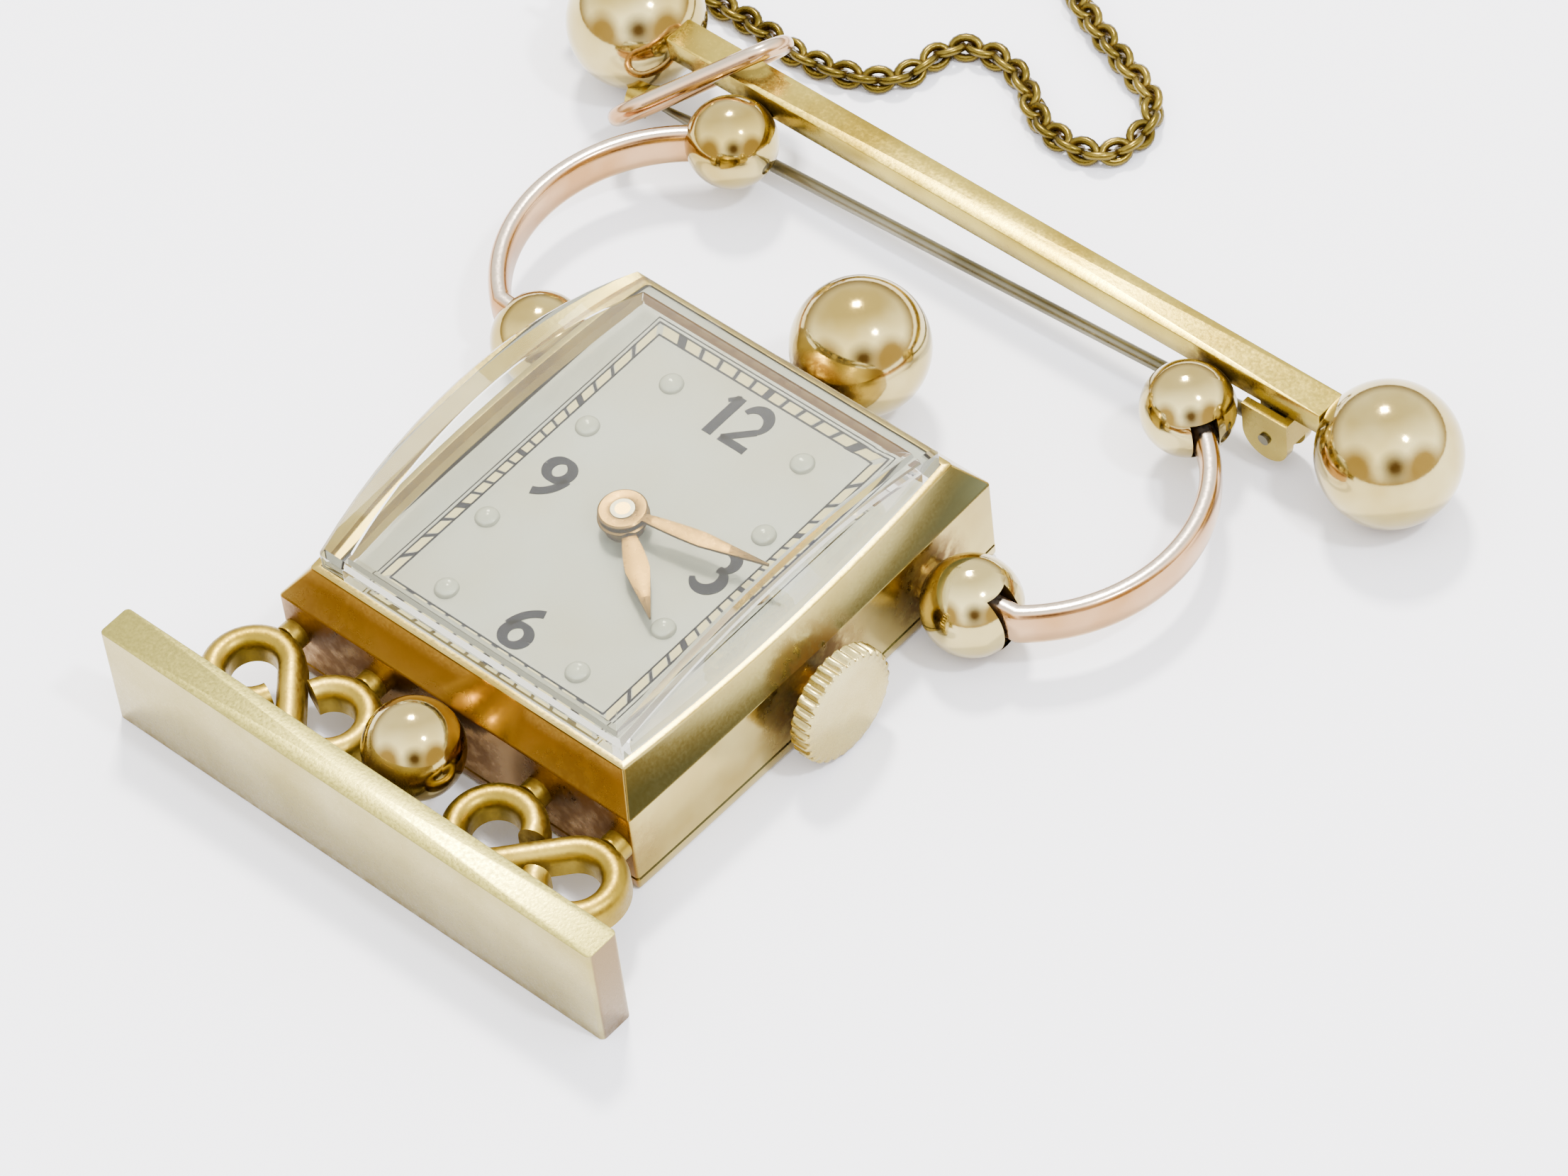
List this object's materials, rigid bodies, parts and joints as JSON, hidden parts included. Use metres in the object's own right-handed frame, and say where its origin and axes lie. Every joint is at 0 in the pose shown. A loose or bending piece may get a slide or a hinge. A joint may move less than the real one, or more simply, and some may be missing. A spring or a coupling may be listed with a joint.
{
  "type": "fob watch",
  "caption": "Small pendant watch with a domed rectangular case, ball ornaments and two hinged bail arms that hang it from a bar brooch with a safety chain.",
  "frame": {"origin": "centre of the case back's flat outer face", "axes": "+X towards the crown at 3, +Y towards 12 and the brooch bar, +Z out of the dial"},
  "size_m": [0.0488, 0.0484, 0.0073],
  "materials": {
    "pale_gold": "worn polished gold filling",
    "yellow_gold": "matte gilt",
    "rose_gold": "worn rose gold filling",
    "steel": "satin",
    "nickel": "rhodium finished",
    "brass": "gilt",
    "acrylic": "clear domed acrylic",
    "dial_silver": "silvered",
    "ruby": "synthetic ruby"
  },
  "bodies": {
    "case": {"case_shell": "pale_gold", "case_back": "pale_gold", "crystal": "acrylic", "dial": "dial_silver", "dial_dots": "dial_silver", "movement_plate": "nickel", "barrel_bridge": "nickel", "train_bridge": "nickel", "balance_cock": "nickel", "jewels": "ruby", "bridge_screws": "steel", "hairspring": "steel", "stem_tube": "brass", "side_ball_right": "pale_gold", "side_ball_left": "pale_gold", "side_ball_pins": "steel", "case_ball": "pale_gold", "lower_ball": "pale_gold", "base_plate": "pale_gold", "scroll_right": "yellow_gold", "scroll_left": "yellow_gold", "solder_lugs": "yellow_gold"},
    "setting": {"setting_lever": "steel"},
    "crown": {"crown": "pale_gold", "winding_stem": "steel"},
    "minute": {"minute_hand": "yellow_gold", "cannon_pinion": "steel"},
    "hour": {"hour_hand": "yellow_gold", "hour_wheel": "brass"},
    "motion": {"minute_wheel": "brass"},
    "centre": {"centre_wheel": "brass"},
    "barrel": {"mainspring_barrel": "brass"},
    "third": {"third_wheel": "brass"},
    "fourth": {"fourth_wheel": "brass"},
    "escape": {"escape_wheel": "nickel"},
    "fork": {"pallet_fork": "nickel"},
    "balance": {"balance_wheel": "brass"},
    "bail": {"arm_right": "rose_gold", "arm_left": "rose_gold"},
    "brooch": {"top_ball_right": "pale_gold", "top_ball_left": "pale_gold", "top_ball_pins": "steel", "brooch_bar": "pale_gold", "finial_right": "pale_gold", "finial_left": "pale_gold", "pin_hinge": "pale_gold", "hinge_rivet": "steel", "catch": "pale_gold", "chain_ring": "pale_gold", "safety_chain": "pale_gold", "chain_safety_pin": "steel"},
    "pin": {"pin_stem": "steel"},
    "link": {"oval_link": "rose_gold"}
  },
  "joints": [
    {"name": "crown_pull", "type": "slide", "parent": "case", "child": "setting", "axis": [1, 0, 0], "range_m": [0, 0.0006]},
    {"name": "crown_turn", "type": "hinge", "parent": "setting", "child": "crown", "pos_m": [0.005, -0.0003, 0.0022], "axis": [1, 0, 0], "continuous": true},
    {"name": "minute_turn", "type": "hinge", "parent": "case", "child": "minute", "pos_m": [0, -0.0003, 0.002], "axis": [0, 0, 1], "continuous": true},
    {"name": "hour_turn", "type": "hinge", "parent": "case", "child": "hour", "pos_m": [0, -0.0003, 0.002], "axis": [0, 0, 1], "continuous": true},
    {"name": "motion_turn", "type": "hinge", "parent": "case", "child": "motion", "pos_m": [0.00118, -0.00171, 0.002], "axis": [0, 0, 1], "continuous": true},
    {"name": "escape_turn", "type": "hinge", "parent": "case", "child": "escape", "pos_m": [0.00284, -0.00166, 0.002], "axis": [0, 0, 1], "continuous": true},
    {"name": "fourth_turn", "type": "hinge", "parent": "case", "child": "fourth", "pos_m": [0.00251, 0.00003, 0.002], "axis": [0, 0, 1], "continuous": true},
    {"name": "third_turn", "type": "hinge", "parent": "case", "child": "third", "pos_m": [0.00153, 0.00173, 0.002], "axis": [0, 0, 1], "continuous": true},
    {"name": "centre_turn", "type": "hinge", "parent": "case", "child": "centre", "pos_m": [0, -0.0003, 0.002], "axis": [0, 0, 1], "continuous": true},
    {"name": "barrel_turn", "type": "hinge", "parent": "case", "child": "barrel", "pos_m": [-0.00176, 0.0023, 0.002], "axis": [0, 0, 1], "continuous": true},
    {"name": "fork_rock", "type": "hinge", "parent": "case", "child": "fork", "pos_m": [0.0023, -0.00313, 0.002], "axis": [0, 0, 1], "range_deg": [-5, 5]},
    {"name": "balance_swing", "type": "hinge", "parent": "case", "child": "balance", "pos_m": [0.0002, -0.00505, 0.002], "axis": [0, 0, 1], "range_deg": [-220, 220]},
    {"name": "bail_swing", "type": "hinge", "parent": "case", "child": "bail", "pos_m": [0, 0.00575, 0.0022], "axis": [1, 0, 0], "range_deg": [-6, 6]},
    {"name": "brooch_swing", "type": "hinge", "parent": "bail", "child": "brooch", "pos_m": [0, 0.01656, 0.0022], "axis": [1, 0, 0], "range_deg": [-8, 8]},
    {"name": "pin_open", "type": "hinge", "parent": "brooch", "child": "pin", "pos_m": [0.01285, 0.0184, 0.0015], "axis": [0, -1, 0], "range_deg": [0, 60]},
    {"name": "link_slide", "type": "slide", "parent": "brooch", "child": "link", "axis": [1, 0, 0], "range_m": [-0.0002, 0.0005]}
  ],
  "couplings": [
    {"joint": "hour_turn", "follows": "minute_turn", "ratio": 0.083333},
    {"joint": "motion_turn", "follows": "minute_turn", "ratio": -0.33333},
    {"joint": "fourth_turn", "follows": "escape_turn", "ratio": -0.14286},
    {"joint": "third_turn", "follows": "escape_turn", "ratio": 0.017857},
    {"joint": "centre_turn", "follows": "escape_turn", "ratio": -0.002381},
    {"joint": "barrel_turn", "follows": "escape_turn", "ratio": 0.00047619}
  ]
}
